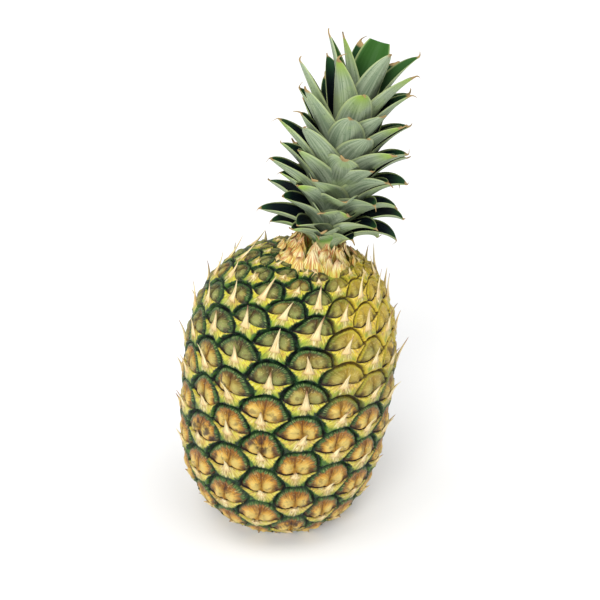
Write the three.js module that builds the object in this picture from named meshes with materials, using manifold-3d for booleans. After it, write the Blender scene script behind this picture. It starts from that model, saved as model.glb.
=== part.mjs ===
// A ripe pineapple standing on its own foot: the compound fruit with its spiral of eyes and spiny bracts,
// the dry bracts round its neck, and the leafy crown. Millimetres, +Z up; the front faces -Y.
import * as THREE from 'three';
import { mergeVertices } from 'three/addons/utils/BufferGeometryUtils.js';
import Module from 'manifold-3d';

const wasm = await Module();
wasm.setup();

// Body of the fruit
const FRUIT_RADIUS = 62;
const TOP_HEIGHT = 88.5;        // from the widest level up to where the body's curve would close
const BOTTOM_DEPTH = 88.7;      // and down to where it would close below
const TOP_FULLNESS = 2.73;      // power of the body's curve; 2 would be an ellipse
const BOTTOM_FULLNESS = 2.94;
const FRUIT_LEAN = 5.9;         // degrees, towards +X
const TOP_BEND = 9;             // sideways bow of the axis at the top, towards +X
const BEND_POWER = 7;           // how late in the body the bow starts
const FOOT_CUT = 4;             // how far above its lowest point the fruit is flat
const NECK_RADIUS = 20;         // flat top that carries the neck bracts
const CURVE_STEPS = 360;

// Spiral of eyes
const COLUMNS = 18;             // upright columns of eyes round the fruit
const TURN_RISE = 2;            // half-rows that the spiral gains in one turn
const FIRST_COLUMN = 8.1;       // degrees from the front, towards +X
const HALF_ROW = 11.69;         // half of an eye's height along the skin at the widest level
const ROW_TIGHTENING = 0.2;     // how much closer the rows come in 100 mm upwards
const ROW_AT_EQUATOR = 3.777;   // row number at the widest level
const ROW_SHRINK = 0.5;         // how the rows follow the body's narrowing
const LOWEST_ROW = -4.6;
const HIGHEST_ROW = 13.9;

// Relief of an eye, measured out from the skin
const GROOVE = -1.7;
const RIM = 1.0;
const BRACT_STEP = 0.9;         // how much prouder the lower half is, where the bract lies on it
const RIM_SHARE = 0.8;          // size of the rim within the eye
const ROOT_SINK = 0.35;         // rows that the spine's root lies below the eye's centre
const ROOT_HALF_WIDTH = 0.17;   // in columns
const ROOT_HALF_HEIGHT = 0.32;  // in rows
const ROOT_RISE = 2.3;
const SPINE_LONG = 14;          // length of the spine near the top
const SPINE_SHORT = 5;          // and near the bottom
const SPINE_LIFT = 25;          // degrees between the spine and the skin
const SPINE_VARIETY = 0.5;
const NECK_CLEAR_RADIUS = 37;   // inside this radius the spines are short
const NECK_SPINE = 3.5;

// Dry bracts round the neck
const NECK_CORE_RADIUS = 15;
const NECK_CORE_HEIGHT = 3.2;
const NECK_BRACTS = 13;
const NECK_GAP = 0.35;
const BRACT_STATIONS = [0, 0.35, 0.7];
const BRACT_ROOT_LIFT = 1.2;
const BRACT_TAPER = 0.75;
const LOW_BRACT = { root: 11, tip: 29, lift: 2.8, rise: 0.8, width: 10, thickness: 1.1 };
const HIGH_BRACT = { root: 10, tip: 21.5, lift: 2.4, rise: 4, width: 8, thickness: 1.1 };

// Leafy crown
const CROWN_LEAN = 11;          // degrees, towards +X
const CROWN_RAISE = 1.9;        // keeps the leaning stem clear of the neck
const STEM_RADIUS = 11;
const STEM_TOP_RADIUS = 4.5;
const STEM_HEIGHT = 48;
const HEART = [[13, 0], [15.5, 30], [14.5, 55], [5, 90]];  // radius and height
const HEART_TOP = 96;           // the packed young leaves round the stem end here
const HEART_SIDES = 7;
const LEAVES = 75;
const GOLDEN_ANGLE = 137.508;
const FIRST_LEAF = 199.8;       // degrees from the front, to the lowest leaf
const LEAF_SEED = 1600;
const LEAF_STATIONS = [0, 0.3, 0.6, 0.86];
const LEAF_THICKNESS = 1.7;

const TO_RADIANS = Math.PI / 180;
const COLOURS = { fruit: 0x8a7a35, neckBracts: 0xb98a4a, crown: 0x5f7d5a };

function mix(a, b, share) {
  return a + (b - a) * share;
}

function smooth(low, high, value) {
  const share = Math.min(1, Math.max(0, (value - low) / (high - low)));
  return share * share * (3 - 2 * share);
}

// The same pseudo-random number from 0 to 1 for the same two whole numbers
function chance(a, b) {
  const value = Math.sin(a * 12.9898 + b * 78.233) * 43758.5453;
  return value - Math.floor(value);
}

// Straight-line reading of ys at x, with xs rising
function reading(x, xs, ys) {
  let high = xs.findIndex((value) => value >= x);
  if (high < 0) high = xs.length - 1;
  const low = Math.max(0, high - 1);
  if (high === low) return ys[0];
  return mix(ys[low], ys[high], (x - xs[low]) / (xs[high] - xs[low]));
}

// Radius and height of the body's curve from bottom to top, with the row number reached at each point
function bodyCurve() {
  const curve = { radius: [], height: [], row: [] };
  let arc = 0;
  const arcs = [];
  for (let step = 0; step <= CURVE_STEPS; step += 1) {
    const angle = mix(-Math.PI / 2 + 1e-4, Math.PI / 2 - 1e-4, step / CURVE_STEPS);
    const up = angle > 0;
    const power = 2 / (up ? TOP_FULLNESS : BOTTOM_FULLNESS);
    const reach = up ? TOP_HEIGHT : -BOTTOM_DEPTH;
    curve.radius.push(FRUIT_RADIUS * Math.cos(angle) ** power);
    curve.height.push(reach * Math.abs(Math.sin(angle)) ** power);
    if (step > 0) {
      const dr = curve.radius[step] - curve.radius[step - 1];
      arc += Math.hypot(dr, curve.height[step] - curve.height[step - 1]);
    }
    arcs.push(arc);
  }
  const middle = reading(0, curve.height, arcs);
  const spacing = arcs.map((length, step) => {
    const narrowing = (curve.radius[step] / FRUIT_RADIUS) ** ROW_SHRINK;
    return HALF_ROW * narrowing * Math.exp(-ROW_TIGHTENING * (length - middle) / 100);
  });
  let row = 0;
  curve.row.push(row);
  for (let step = 1; step <= CURVE_STEPS; step += 1) {
    row += (arcs[step] - arcs[step - 1]) / (0.5 * (spacing[step] + spacing[step - 1]));
    curve.row.push(row);
  }
  const middleRow = reading(0, curve.height, curve.row) - ROW_AT_EQUATOR;
  curve.row = curve.row.map((value) => value - middleRow);
  return curve;
}

const BODY = bodyCurve();
const NECK_LEVEL = TOP_HEIGHT * (1 - (NECK_RADIUS / FRUIT_RADIUS) ** TOP_FULLNESS) ** (1 / TOP_FULLNESS);

// Puts a point of the upright fruit, measured from the middle of its widest level, into the leaning part
function leaning() {
  const lean = FRUIT_LEAN * TO_RADIANS;
  let lowest = Infinity;
  for (let step = 0; step <= CURVE_STEPS; step += 1) {
    const depth = BODY.height[step] * Math.cos(lean) - BODY.radius[step] * Math.sin(lean);
    lowest = Math.min(lowest, depth);
  }
  const foot = lowest + FOOT_CUT;
  const turn = new THREE.Matrix4().makeRotationY(lean);
  return new THREE.Matrix4().makeTranslation(-foot * Math.tan(lean), 0, -foot).multiply(turn);
}

const FRUIT_PLACE = leaning();

// Point of the smooth upright body at an azimuth from the front, bowed to +X near its top
function bodyPoint(azimuth, radius, height) {
  const bow = TOP_BEND * Math.max(0, height / TOP_HEIGHT) ** BEND_POWER;
  return new THREE.Vector3(radius * Math.sin(azimuth) + bow, -radius * Math.cos(azimuth), height);
}

// Point of the skin at a column and row of the spiral of eyes, with the slow waver of a grown thing
function skinPoint(column, row) {
  const turn = column * 2 * Math.PI / COLUMNS;
  const waver = 0.022 * Math.sin(3 * turn + 0.54 * row + 2.5) + 0.015 * Math.sin(5 * turn + 0.99 * row - 3.4);
  const azimuth = FIRST_COLUMN * TO_RADIANS + turn + waver;
  const swell = 0.21 * Math.sin(2 * turn + 0.34 * row + 0.8) + 0.07 * Math.sin(4 * turn + 0.41 * row - 1.9);
  const rowHere = row + swell * smooth(0, 3, row - LOWEST_ROW);
  const radius = reading(rowHere, BODY.row, BODY.radius);
  const height = reading(rowHere, BODY.row, BODY.height);
  return bodyPoint(azimuth, radius, height);
}

// Directions at a place on the skin: across to +column, up the row, and out of the skin
function skinFrame(column, row) {
  const step = 0.05;
  const centre = skinPoint(column, row);
  const across = skinPoint(column + step, row).sub(skinPoint(column - step, row)).normalize();
  const up = skinPoint(column, row + step).sub(skinPoint(column, row - step)).normalize();
  const out = new THREE.Vector3().crossVectors(across, up).normalize();
  return { centre, across, up, out };
}

// Corners and edge middles of an eye's six-sided cell, as column and row steps from its centre
function cellOutline() {
  const slope = TURN_RISE / COLUMNS;
  const neighbours = [[0, 2], [1, 1 + slope], [1, slope - 1], [0, -2], [-1, -1 - slope], [-1, 1 - slope]];
  const outline = [];
  neighbours.forEach(([column, row], index) => {
    const next = neighbours[(index + 1) % neighbours.length];
    outline.push([column / 2, row / 2]);
    outline.push([(column + next[0]) / 3, (row + next[1]) / 3]);
  });
  return outline;
}

const CELL = cellOutline();

// Every eye's column and row, from the foot to the neck
function eyePlaces() {
  const places = [];
  for (let column = 0; column < COLUMNS; column += 1) {
    const slope = column * TURN_RISE / COLUMNS;
    const start = Math.ceil((LOWEST_ROW - slope - column) / 2) * 2 + column;
    for (let row = start; row + slope <= HIGHEST_ROW; row += 2) {
      places.push({ column, row, level: row + slope });
    }
  }
  return places;
}

function spineLength(eye, centre) {
  const radius = reading(eye.level, BODY.row, BODY.radius);
  const variety = 1 + SPINE_VARIETY * (chance(eye.column, eye.row) - 0.5);
  if (centre.z > 0 && radius < NECK_CLEAR_RADIUS) return NECK_SPINE * variety;
  return mix(SPINE_SHORT, SPINE_LONG, smooth(-72, 28, centre.z)) * variety;
}

// One eye: a sunken border shared with its neighbours, a rim, and the bract's spine on its lower half
function addEye(eye, surface) {
  const { column, level } = eye;
  const size = Math.min(1, Math.sqrt(reading(level, BODY.row, BODY.radius) / FRUIT_RADIUS));
  const border = CELL.map(([dc, dr]) => surface.shared(column + dc, level + dr, GROOVE * size));
  const rim = CELL.map(([dc, dr]) => {
    const frame = skinFrame(column + dc * RIM_SHARE, level + dr * RIM_SHARE);
    const lower = smooth(0.15, -0.35, dr);
    return surface.own(frame.centre.addScaledVector(frame.out, (RIM + BRACT_STEP * lower) * size));
  });
  const frame = skinFrame(column, level - ROOT_SINK);
  const sides = CELL.length / 2;
  const root = [];
  for (let side = 0; side < sides; side += 1) {
    const angle = side * 2 * Math.PI / sides;
    const across = ROOT_HALF_WIDTH * Math.sin(angle);
    const along = ROOT_HALF_HEIGHT * Math.cos(angle);
    const foot = skinFrame(column + across, level - ROOT_SINK + along);
    root.push(surface.own(foot.centre.addScaledVector(foot.out, ROOT_RISE * size)));
  }
  const length = spineLength(eye, frame.centre);
  const lift = SPINE_LIFT * TO_RADIANS;
  const sway = (chance(eye.column + 40, eye.row) - 0.5) * 0.35 * length;
  const tip = frame.centre.clone()
    .addScaledVector(frame.up, length * Math.cos(lift))
    .addScaledVector(frame.out, length * Math.sin(lift) + ROOT_RISE * size)
    .addScaledVector(frame.across, sway);
  const apex = surface.own(tip);
  for (let side = 0; side < CELL.length; side += 1) {
    const next = (side + 1) % CELL.length;
    surface.face(border[side], border[next], rim[next]);
    surface.face(border[side], rim[next], rim[side]);
  }
  for (let side = 0; side < sides; side += 1) {
    const next = (side + 1) % sides;
    const before = (2 * side + CELL.length) % CELL.length;
    const middle = (before + 1) % CELL.length;
    const after = (before + 2) % CELL.length;
    surface.face(rim[before], rim[middle], root[side]);
    surface.face(rim[middle], root[next], root[side]);
    surface.face(rim[middle], rim[after], root[next]);
    surface.face(root[side], root[next], apex);
  }
}

// Collects points and faces, with the points on a border shared by the eyes that meet there
function newSurface() {
  const points = [];
  const faces = [];
  const known = new Map();
  const own = (point) => points.push(point) - 1;
  const shared = (column, row, rise) => {
    const round = (Math.round(column * 6) + COLUMNS * 12) % (COLUMNS * 6);
    const name = `${round}_${Math.round(row * COLUMNS * 3)}`;
    if (!known.has(name)) {
      const frame = skinFrame(round / 6, row);
      known.set(name, own(frame.centre.addScaledVector(frame.out, rise)));
    }
    return known.get(name);
  };
  const face = (a, b, c) => faces.push([a, c, b]);
  return { points, faces, own, shared, face };
}

// Closes the open edge above or below the eyes with a fan to a point on the axis
function closeEnds(surface) {
  const bottom = surface.own(bodyPoint(0, 0, -BOTTOM_DEPTH));
  const top = surface.own(bodyPoint(0, 0, TOP_HEIGHT));
  const open = new Map();
  surface.faces.forEach((corners) => {
    corners.forEach((from, index) => {
      const to = corners[(index + 1) % 3];
      if (open.has(`${to}_${from}`)) open.delete(`${to}_${from}`);
      else open.set(`${from}_${to}`, [from, to]);
    });
  });
  open.forEach(([from, to]) => {
    const end = surface.points[from].z > 0 ? top : bottom;
    surface.faces.push([to, from, end]);
  });
}

function geometryOf(points, faces) {
  const geometry = new THREE.BufferGeometry();
  const coordinates = points.flatMap((point) => [point.x, point.y, point.z]);
  geometry.setAttribute('position', new THREE.Float32BufferAttribute(coordinates, 3));
  geometry.setIndex(faces.flat());
  return geometry;
}

function solidOf(geometry) {
  const plain = geometry.clone();
  plain.deleteAttribute('normal');
  plain.deleteAttribute('uv');
  const merged = mergeVertices(plain, 1e-4);
  const vertProperties = new Float32Array(merged.attributes.position.array);
  const triVerts = new Uint32Array(merged.index.array);
  return new wasm.Manifold(new wasm.Mesh({ numProp: 3, vertProperties, triVerts }));
}

function geometryFrom(solid) {
  const mesh = solid.getMesh();
  const geometry = new THREE.BufferGeometry();
  geometry.setAttribute('position', new THREE.BufferAttribute(new Float32Array(mesh.vertProperties), 3));
  geometry.setIndex(new THREE.BufferAttribute(new Uint32Array(mesh.triVerts), 1));
  return geometry;
}

// The outer body alone: hollows that the joined blades have sealed are filled
function filled(solid) {
  return solid.decompose().reduce((best, piece) => (piece.volume() > best.volume() ? piece : best));
}

function fruit() {
  const surface = newSurface();
  eyePlaces().forEach((eye) => addEye(eye, surface));
  closeEnds(surface);
  const leaned = geometryOf(surface.points, surface.faces).applyMatrix4(FRUIT_PLACE);
  const side = 400;
  const below = new THREE.BoxGeometry(side, side, side).translate(0, 0, -side / 2);
  const above = new THREE.BoxGeometry(side, side, side).translate(0, 0, NECK_LEVEL + side / 2);
  above.applyMatrix4(FRUIT_PLACE);
  return solidOf(leaned).subtract(solidOf(below)).subtract(solidOf(above));
}

// A thin pointed blade: four-cornered sections (edge, outer face, edge, inner face) and a tip
function blade(sections, tip) {
  const points = sections.flat().concat([tip]);
  const corners = sections[0].length;
  const apex = points.length - 1;
  const faces = [[0, 2, 1], [0, 3, 2]];
  for (let station = 0; station < sections.length; station += 1) {
    for (let corner = 0; corner < corners; corner += 1) {
      const a = station * corners + corner;
      const b = station * corners + (corner + 1) % corners;
      if (station === sections.length - 1) {
        faces.push([a, b, apex]);
      } else {
        faces.push([a, b, b + corners], [a, b + corners, a + corners]);
      }
    }
  }
  return geometryOf(points, faces);
}

// Height of the smooth shoulder at a radius, below the flat neck
function shoulderDrop(radius) {
  if (radius <= NECK_RADIUS) return 0;
  const share = (1 - (radius / FRUIT_RADIUS) ** TOP_FULLNESS) ** (1 / TOP_FULLNESS);
  return TOP_HEIGHT * share - NECK_LEVEL;
}

// One dry bract lying out over the shoulder, or standing up beside the stem
function neckBract(azimuth, shape, length) {
  const tipRadius = mix(shape.root, shape.tip, length);
  const place = (share) => {
    const radius = mix(shape.root, tipRadius, share);
    const lift = NECK_GAP + mix(BRACT_ROOT_LIFT, shape.lift, smooth(0, 0.5, share)) + shape.rise * share * share;
    return bodyPoint(azimuth, radius, NECK_LEVEL + shoulderDrop(radius) + lift);
  };
  const across = new THREE.Vector3(Math.cos(azimuth), Math.sin(azimuth), 0);
  const sections = BRACT_STATIONS.map((share) => {
    const centre = place(share);
    const along = place(share + 0.05).sub(centre).normalize();
    const out = new THREE.Vector3().crossVectors(across, along).normalize();
    const half = shape.width / 2 * (1 - share * BRACT_TAPER);
    const halfThick = shape.thickness / 2;
    return [
      centre.clone().addScaledVector(across, -half),
      centre.clone().addScaledVector(out, halfThick),
      centre.clone().addScaledVector(across, half),
      centre.clone().addScaledVector(out, -halfThick),
    ];
  });
  return blade(sections, place(1));
}

function neckBracts() {
  const profile = [
    new THREE.Vector2(0, NECK_GAP),
    new THREE.Vector2(NECK_CORE_RADIUS, NECK_GAP),
    new THREE.Vector2(NECK_CORE_RADIUS - 1.5, NECK_CORE_HEIGHT),
    new THREE.Vector2(0, NECK_CORE_HEIGHT),
  ];
  const core = new THREE.LatheGeometry(profile, 2 * NECK_BRACTS).rotateX(Math.PI / 2);
  const centre = bodyPoint(0, 0, NECK_LEVEL);
  let solid = solidOf(core.translate(centre.x, centre.y, centre.z));
  [LOW_BRACT, HIGH_BRACT].forEach((shape, tier) => {
    for (let index = 0; index < NECK_BRACTS; index += 1) {
      const azimuth = (index + tier / 2 + 0.35 * (chance(index, tier) - 0.5)) * 2 * Math.PI / NECK_BRACTS;
      const bract = neckBract(azimuth, shape, 0.75 + 0.25 * chance(index, tier + 7));
      solid = solid.add(solidOf(bract));
    }
  });
  return filled(solid);
}

// Where a leaf stands and how it is shaped, from its place in the spiral: 0 the lowest, 1 the youngest
function leafShape(index) {
  const age = index / (LEAVES - 1);
  const wild = (channel) => chance(index, channel + LEAF_SEED) - 0.5;
  const azimuth = (FIRST_LEAF + index * GOLDEN_ANGLE + 16 * wild(2)) * TO_RADIANS;
  const rootHeight = mix(1.5, STEM_HEIGHT - 3, age ** 1.15);
  const rootRadius = mix(STEM_RADIUS, STEM_TOP_RADIUS, age) - 2.2;
  const tipHeight = mix(4, 121, age ** 1.14) + 6 * smooth(0.85, 1, age) + 8 * wild(1) * smooth(0, 0.2, age);
  const fullSpread = mix(29, 38.4, smooth(0, 0.12, age));
  const spread = fullSpread - 5.8 * smooth(0.5, 0.85, age) - 15.4 * smooth(0.93, 1, age);
  // Leaves on the side that the crown leans to hang lower; low leaves in front are short and more upright
  const front = Math.max(0, Math.cos(azimuth));
  const droop = mix(22, 8, age) * Math.sin(azimuth) - 26 * (1 - age) * front;
  const shortened = 1 - 0.4 * (1 - age) ** 3 * front;
  const raised = 9 * (1 - age) ** 4 * front;
  return {
    azimuth,
    root: new THREE.Vector2(rootRadius, rootHeight),
    tip: new THREE.Vector2(shortened * (spread + 9 * wild(3)), tipHeight + raised),
    startTurn: mix(34, 14, age),
    endTurn: mix(36, 14, smooth(0.05, 0.95, age)) + droop + 14 * wild(4),
    width: mix(15.5, 23.5, smooth(0.05, 0.5, age)) - 4.5 * smooth(0.75, 1, age),
    hollow: mix(0.34, 0.28, age),
    sway: 6 * wild(5),
    twist: 24 * wild(6),
  };
}

// Centre line of a leaf's outer face in its own upright plane: radius from the crown's axis and height
function leafLine(shape) {
  const chord = shape.tip.clone().sub(shape.root);
  const length = chord.length();
  const lie = Math.atan2(chord.x, chord.y);
  const start = lie - shape.startTurn * TO_RADIANS;
  const end = lie + shape.endTurn * TO_RADIANS;
  const first = new THREE.Vector2(Math.sin(start), Math.cos(start)).multiplyScalar(0.42 * length);
  const last = new THREE.Vector2(Math.sin(end), Math.cos(end)).multiplyScalar(0.3 * length);
  return new THREE.CubicBezierCurve(
    shape.root,
    shape.root.clone().add(first),
    shape.tip.clone().sub(last),
    shape.tip,
  );
}

function leafWidth(shape, share) {
  const body = mix(0.86, 1, smooth(0, 0.3, share));
  return shape.width * body * (1 - share ** 3.4) ** 0.78;
}

function leaf(index) {
  const shape = leafShape(index);
  const line = leafLine(shape);
  const radial = new THREE.Vector3(Math.sin(shape.azimuth), -Math.cos(shape.azimuth), 0);
  const side = new THREE.Vector3(Math.cos(shape.azimuth), Math.sin(shape.azimuth), 0);
  const place = (share) => {
    const flat = line.getPoint(share);
    const point = radial.clone().multiplyScalar(flat.x).addScaledVector(side, shape.sway * share * share);
    point.z = flat.y;
    return point;
  };
  const sections = LEAF_STATIONS.map((share) => {
    const centre = place(share);
    const slope = line.getTangent(share);
    const along = radial.clone().multiplyScalar(slope.x).setComponent(2, slope.y);
    const turn = new THREE.Quaternion().setFromAxisAngle(along, shape.twist * share * TO_RADIANS);
    const across = side.clone().applyQuaternion(turn);
    const out = new THREE.Vector3().crossVectors(across, along).normalize();
    const half = leafWidth(shape, share) / 2;
    const thick = LEAF_THICKNESS * mix(1.25, 0.6, share);
    const deep = Math.max(thick * 0.6, 2 * half * shape.hollow);
    return [
      centre.clone().addScaledVector(across, -half).addScaledVector(out, -deep),
      centre,
      centre.clone().addScaledVector(across, half).addScaledVector(out, -deep),
      centre.clone().addScaledVector(out, -thick),
    ];
  });
  return blade(sections, place(1));
}

function crown() {
  const profile = [[0, 0], ...HEART, [0, HEART_TOP]].map(([radius, height]) => new THREE.Vector2(radius, height));
  let solid = solidOf(new THREE.LatheGeometry(profile, HEART_SIDES).rotateX(Math.PI / 2));
  for (let index = 0; index < LEAVES; index += 1) {
    solid = solid.add(solidOf(leaf(index)));
  }
  return filled(solid);
}

function namedMesh(name, solid, colour, roughness) {
  const material = new THREE.MeshStandardMaterial({ color: colour, roughness, metalness: 0 });
  const mesh = new THREE.Mesh(geometryFrom(solid), material);
  mesh.name = name;
  return mesh;
}

const group = new THREE.Group();
group.add(namedMesh('fruit', fruit(), COLOURS.fruit, 0.55));

const neck = new THREE.Group();
neck.applyMatrix4(FRUIT_PLACE);
neck.add(namedMesh('neck_bracts', neckBracts(), COLOURS.neckBracts, 0.8));
group.add(neck);

const leafy = new THREE.Group();
const crownFoot = bodyPoint(0, 0, NECK_LEVEL + NECK_CORE_HEIGHT + CROWN_RAISE).applyMatrix4(FRUIT_PLACE);
leafy.position.copy(crownFoot);
leafy.rotation.y = CROWN_LEAN * TO_RADIANS;
leafy.add(namedMesh('crown', crown(), COLOURS.crown, 0.6));
group.add(leafy);

export default group;
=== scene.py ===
"""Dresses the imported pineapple: the skin with its spiral of eyes, their bracts and spines, the dry bracts
round the neck, the crown of leaves and the stalk scar. Shapes are worked out in millimetres, +Z up."""
import math
from types import SimpleNamespace

import bpy
import numpy as np
from mathutils import Matrix, Vector


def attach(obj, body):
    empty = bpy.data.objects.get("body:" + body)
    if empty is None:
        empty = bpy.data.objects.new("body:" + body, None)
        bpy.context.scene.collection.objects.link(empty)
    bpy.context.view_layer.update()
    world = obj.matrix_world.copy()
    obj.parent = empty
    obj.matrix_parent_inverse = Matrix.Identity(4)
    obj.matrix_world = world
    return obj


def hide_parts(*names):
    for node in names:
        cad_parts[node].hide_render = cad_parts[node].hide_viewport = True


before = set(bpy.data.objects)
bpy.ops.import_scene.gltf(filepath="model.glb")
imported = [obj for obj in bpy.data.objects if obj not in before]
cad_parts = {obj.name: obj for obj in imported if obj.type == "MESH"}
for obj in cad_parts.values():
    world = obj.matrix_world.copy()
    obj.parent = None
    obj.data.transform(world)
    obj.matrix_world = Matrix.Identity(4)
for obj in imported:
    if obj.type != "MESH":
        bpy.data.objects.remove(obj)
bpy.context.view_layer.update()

MM = 0.001

# Body of the fruit, as in the solids
FRUIT_RADIUS = 62.0
TOP_HEIGHT = 88.5
BOTTOM_DEPTH = 88.7
TOP_FULLNESS = 2.73
BOTTOM_FULLNESS = 2.94
FRUIT_LEAN = math.radians(5.9)
TOP_BEND = 9.0
BEND_POWER = 7.0
FOOT_CUT = 4.0
NECK_RADIUS = 20.0
CURVE_STEPS = 360

# Spiral of eyes, as in the solids
COLUMNS = 18
TURN_RISE = 2
FIRST_COLUMN = math.radians(8.1)
HALF_ROW = 11.69
ROW_TIGHTENING = 0.2
ROW_AT_EQUATOR = 3.777
ROW_SHRINK = 0.5
LOWEST_ROW = -4.6
HIGHEST_ROW = 15.0              # a row more than in the solids, under the neck's bracts
SPINE_LONG = 14.0
SPINE_SHORT = 5.0
SPINE_VARIETY = 0.5
SPINE_LIFT = math.radians(25)
ROOT_SINK = 0.35
NECK_CLEAR_RADIUS = 37.0
NECK_SPINE = 3.5

# Leafy crown, as in the solids
CROWN_LEAN = math.radians(11)
CROWN_RAISE = 1.9
NECK_CORE_HEIGHT = 3.2
STEM_RADIUS = 11.0
STEM_TOP_RADIUS = 4.5
STEM_HEIGHT = 48.0
LEAVES = 75
GOLDEN_ANGLE = 137.508
FIRST_LEAF = 199.8
LEAF_SEED = 1600
CUT_LEAF = 73                   # a back leaf whose top is cut off
CUT_SHARE = 0.88
LEAF_FULLNESS = 3.4             # the larger, the nearer its tip a leaf stays wide
CUT_FULLNESS = 8.0
LEAF_THICKNESS = 1.7
LEAF_SINK = 2.2

# Leaves from the lowest to the highest: heights and distances of their tips, widths,
# depths of their fold as shares of the width, and bends in degrees at the root and the tip
TIP_HEIGHTS = (4, 121)
TOP_RISE = 6
LEAF_SPREADS = (29, 38.4)
LEAF_WIDTHS = (15.5, 23.5)
LEAF_HOLLOWS = (0.34, 0.28)
START_TURNS = (34, 14)
END_TURNS = (36, 14)

# Dry bracts round the neck: radius and height over the neck of their roots and tips
NECK_RINGS = (
    {"count": 13, "root": (26, -7.0), "tip": (20.5, 4.5), "width": 15.0},
    {"count": 12, "root": (22, -5.0), "tip": (17.0, 7.0), "width": 14.0},
    {"count": 11, "root": (18, -3.5), "tip": (14.0, 9.5), "width": 13.0},
    {"count": 10, "root": (14, -2.5), "tip": (11.0, 12.0), "width": 12.0},
)

# Fineness of the surfaces
BORDER_STEPS = (0, 0.05, 0.13, 0.25, 0.39, 0.54, 0.69, 0.85)
EYE_RINGS = (0.14, 0.28, 0.41, 0.53, 0.63, 0.72, 0.79, 0.85, 0.90, 0.95)
LEAF_SHARES = [share / 30 for share in range(27)] + [0.885 + 0.0115 * step for step in range(11)]
LEAF_ACROSS = 8
THREAD_SHARE = 0.955

# Slow unevenness of the spiral and of the cells: size, waves round, turn with height, start
WAVER = ((0.022, 3, 0.54, 2.5), (0.015, 5, 0.99, -3.4))
SWELL = ((0.21, 2, 0.34, 0.8), (0.07, 4, 0.41, -1.9))
JIGGLE_ASIDE = ((0.03, 13, 2.1, 0), (0.015, 23, -3.3, 1))
JIGGLE_AHEAD = ((0.03, 17, 2.9, 2), (0.05, 11, -2.3, 0))

# Spines: places along one, its cross-section, and its half width and thickness at places along it
SPINE_STATIONS = (0, 0.10, 0.22, 0.36, 0.52, 0.68, 0.84, 0.95)
SPINE_PROFILE = ((-1, -0.1), (-0.6, 0.3), (-0.16, 0.75), (0.16, 0.75), (0.6, 0.3), (1, -0.1), (0, -0.35))
SPINE_HALF_WIDTHS = ((0, 3.8), (0.16, 2.4), (0.4, 1.5), (0.8, 0.55), (1, 0.1))
SPINE_THICKNESS = ((0, 1.7), (0.3, 1.2), (1, 0.2))
SPINE_PROUD = 1.2
SPINE_SWAY = 0.5
SPINE_CURL = 0.16

# Relief of an eye in millimetres, and places in it as columns aside and half-rows along
GROOVE_DEPTH = 2.3
DOME_HEIGHT = 0.8
RIM_DIP = 0.7
LOBE_HEIGHTS = (1.0, 1.9)
CRACK_DEPTH = 0.7
LIP_DEPTH = 1.7
RIM_TEETH = 28
RIM_TOOTH = 0.2
BRACT_HEIGHT = 1.1
BRACT_KEEL = 0.9
BRACT_LIP = 0.4
BRACT_OVERHANG = 1.0
EYE_ASPECT = 1.87               # width of a column as half-rows
EYE_MIDDLE = 0.1
EYE_SHIFT = 0.14
EYE_TILT = 0.24
LIP_SAG = 0.19
BRACT_EDGE = ((0.0, -0.24), (0.1, -0.29), (0.2, -0.34), (0.3, -0.33), (0.42, -0.26), (0.55, -0.15),
              (0.67, 0.0))
BRACT_FOOT = ((0.0, -1.0), (0.12, -0.88), (0.26, -0.66), (0.42, -0.46), (0.66, -0.14))
RIPE_ROWS = (-0.5, 9.0)
BRACT_RISE = 0.2                # how much higher the bracts' edges lie on the upper rows

# These make a whole number of a border point's place, so that the eyes that meet there share it
COLUMN_KEY = 713.3
ROW_KEY = 517.7
TURN_KEY = 100003

# Colours, as levels from 0 to 255
SKIN_COLOURS = {
    "unripe lobe": (122, 134, 68),
    "ripe lobe": (240, 180, 58),
    "low lobe": (238, 170, 62),
    # painted highlight: paler colour for the tops of the eye's lobes, unripe and ripe
    "unripe heart": (172, 176, 98),
    "ripe heart": (254, 226, 124),
    "unripe flesh": (34, 60, 28),
    "ripe flesh": (170, 106, 26),
    "dark ray": (40, 40, 20),
    "dark hair": (50, 42, 16),
    "pale hair": (216, 200, 126),
    "fleck": (232, 216, 150),
    "brown spot": (112, 76, 34),
    "crack": (96, 44, 16),
    "yellow eye": (246, 206, 62),
    "yellow ray": (255, 240, 160),
    # painted shade in the lower outer corners of an eye
    "painted corner shade": (40, 28, 26),
    "bruise": (52, 34, 36),
    "deep rim": (10, 34, 18),
    "light rim": (70, 108, 42),
    "rim tooth": (160, 178, 104),
    "yellow rim": (226, 200, 48),
    "lip shade": (48, 22, 12),
    "unripe cream": (236, 216, 142),
    "ripe cream": (238, 214, 152),
    "unripe wing": (222, 216, 40),
    "ripe wing": (226, 208, 80),
    "yellow wing": (252, 216, 56),
    "warm spot": (214, 156, 88),
    "tan fibre": (190, 136, 84),
    "brown fibre": (104, 64, 34),
    "pale fibre": (252, 240, 198),
    "tan thread": (176, 118, 74),
    "pale thread": (252, 240, 130),
    "green edge": (112, 150, 34),
    "deep fringe": (12, 44, 22),
    "light fringe": (74, 116, 38),
    "yellow fringe": (236, 208, 58),
    "deep groove": (4, 14, 12),
    "light groove": (32, 70, 34),
    "yellow groove": (142, 112, 38),
    "dark wood": (150, 112, 66),
    "light wood": (206, 176, 120),
}
SPINE_COLOURS = {
    "cream": (242, 230, 178),
    "tan": (212, 178, 118),
    "root": (228, 198, 138),
    "dry tip": (142, 78, 48),
}
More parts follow.
